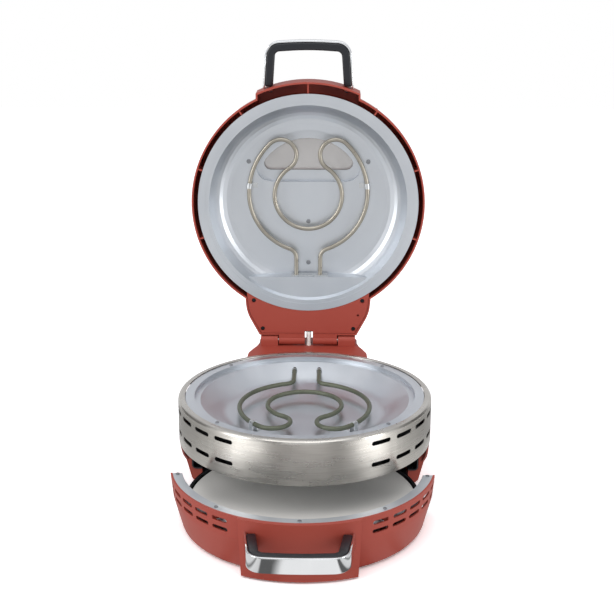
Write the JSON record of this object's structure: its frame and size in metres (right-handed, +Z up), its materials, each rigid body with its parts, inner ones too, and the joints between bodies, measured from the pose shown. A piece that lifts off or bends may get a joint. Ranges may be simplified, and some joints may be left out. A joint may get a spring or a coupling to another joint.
{
  "type": "pizza oven",
  "caption": "Round two-deck pizza oven with a hinged domed lid, a pan under it for a baking stone, and a lower hearth that pulls out as a drawer",
  "frame": {"origin": "on the worktop, under the axis of the fixed steel ring", "axes": "+X to the right seen from the front, +Y to the back, +Z up; the drawer comes out along -Y"},
  "size_m": [0.35, 0.6049, 0.6012],
  "materials": {
    "terracotta": "satin",
    "pan_aluminium": "satin",
    "brushed_band": "brushed",
    "black_enamel": "satin",
    "zinc_plate": "satin",
    "rubber_feet": "matte",
    "olive_tube": "satin",
    "black_plastic": "satin",
    "ceramic": "matte",
    "white_sleeve": "matte",
    "stone": "matte",
    "chrome_strap": "polished",
    "nickel_tube": "satin",
    "smoked_glass": "polished",
    "black_rubber": "matte",
    "lamp_lens": "gloss"
  },
  "bodies": {
    "base": {"base_plate": "zinc_plate", "feet": "rubber_feet", "rear_shell": "terracotta", "rear_liner": "black_enamel", "hearth_reflector": "pan_aluminium", "hearth_heater": "olive_tube", "hearth_clips": "zinc_plate", "slide_rails": "zinc_plate", "rear_tower": "terracotta", "tower_cover": "terracotta", "tower_cover_screws": "black_enamel", "cord_gland": "black_plastic", "terminal_block": "ceramic", "hinge_pins": "zinc_plate", "lid_cable": "white_sleeve", "steel_band": "brushed_band", "band_drum": "black_enamel", "upper_pan": "pan_aluminium", "pan_screws": "zinc_plate", "pan_heater": "olive_tube", "pan_clips": "zinc_plate", "pan_collars": "zinc_plate", "deck_ceiling": "pan_aluminium", "ceiling_heater": "olive_tube", "ceiling_clips": "zinc_plate"},
    "drawer": {"drawer_shell": "terracotta", "drawer_rim": "pan_aluminium", "rim_screws": "zinc_plate", "stone_carrier": "black_enamel", "drawer_runners": "zinc_plate", "pizza_stone": "stone", "drawer_grip": "black_plastic", "drawer_strap": "chrome_strap", "drawer_handle_screws": "zinc_plate"},
    "lid": {"lid_shell": "terracotta", "lid_reflector": "pan_aluminium", "lid_heater": "nickel_tube", "terminal_plate": "zinc_plate", "lid_clips": "zinc_plate", "reflector_screws": "zinc_plate", "window_glass": "smoked_glass", "window_gasket": "black_rubber", "tail_cover": "terracotta", "tail_screws": "black_enamel", "lid_grip": "black_plastic", "lid_strap": "chrome_strap", "lid_handle_screws": "zinc_plate", "thermostats": "zinc_plate", "pilot_lamps": "lamp_lens"},
    "upper_knob_body": {"upper_knob": "black_plastic"},
    "lower_knob_body": {"lower_knob": "black_plastic"}
  },
  "joints": [
    {"name": "lid_hinge", "type": "hinge", "parent": "base", "child": "lid", "pos_m": [0, 0.2142, 0.1457], "axis": [1, 0, 0], "range_deg": [0, 90]},
    {"name": "drawer_slide", "type": "slide", "parent": "base", "child": "drawer", "axis": [0, 1, 0], "range_m": [-0.059, 0.101]},
    {"name": "upper_knob_turn", "type": "hinge", "parent": "lid", "child": "upper_knob_body", "pos_m": [-0.045, 0.253, 0.1829], "axis": [0, 1, 0], "range_deg": [0, 270]},
    {"name": "lower_knob_turn", "type": "hinge", "parent": "lid", "child": "lower_knob_body", "pos_m": [0.045, 0.253, 0.1829], "axis": [0, 1, 0], "range_deg": [0, 270]}
  ]
}
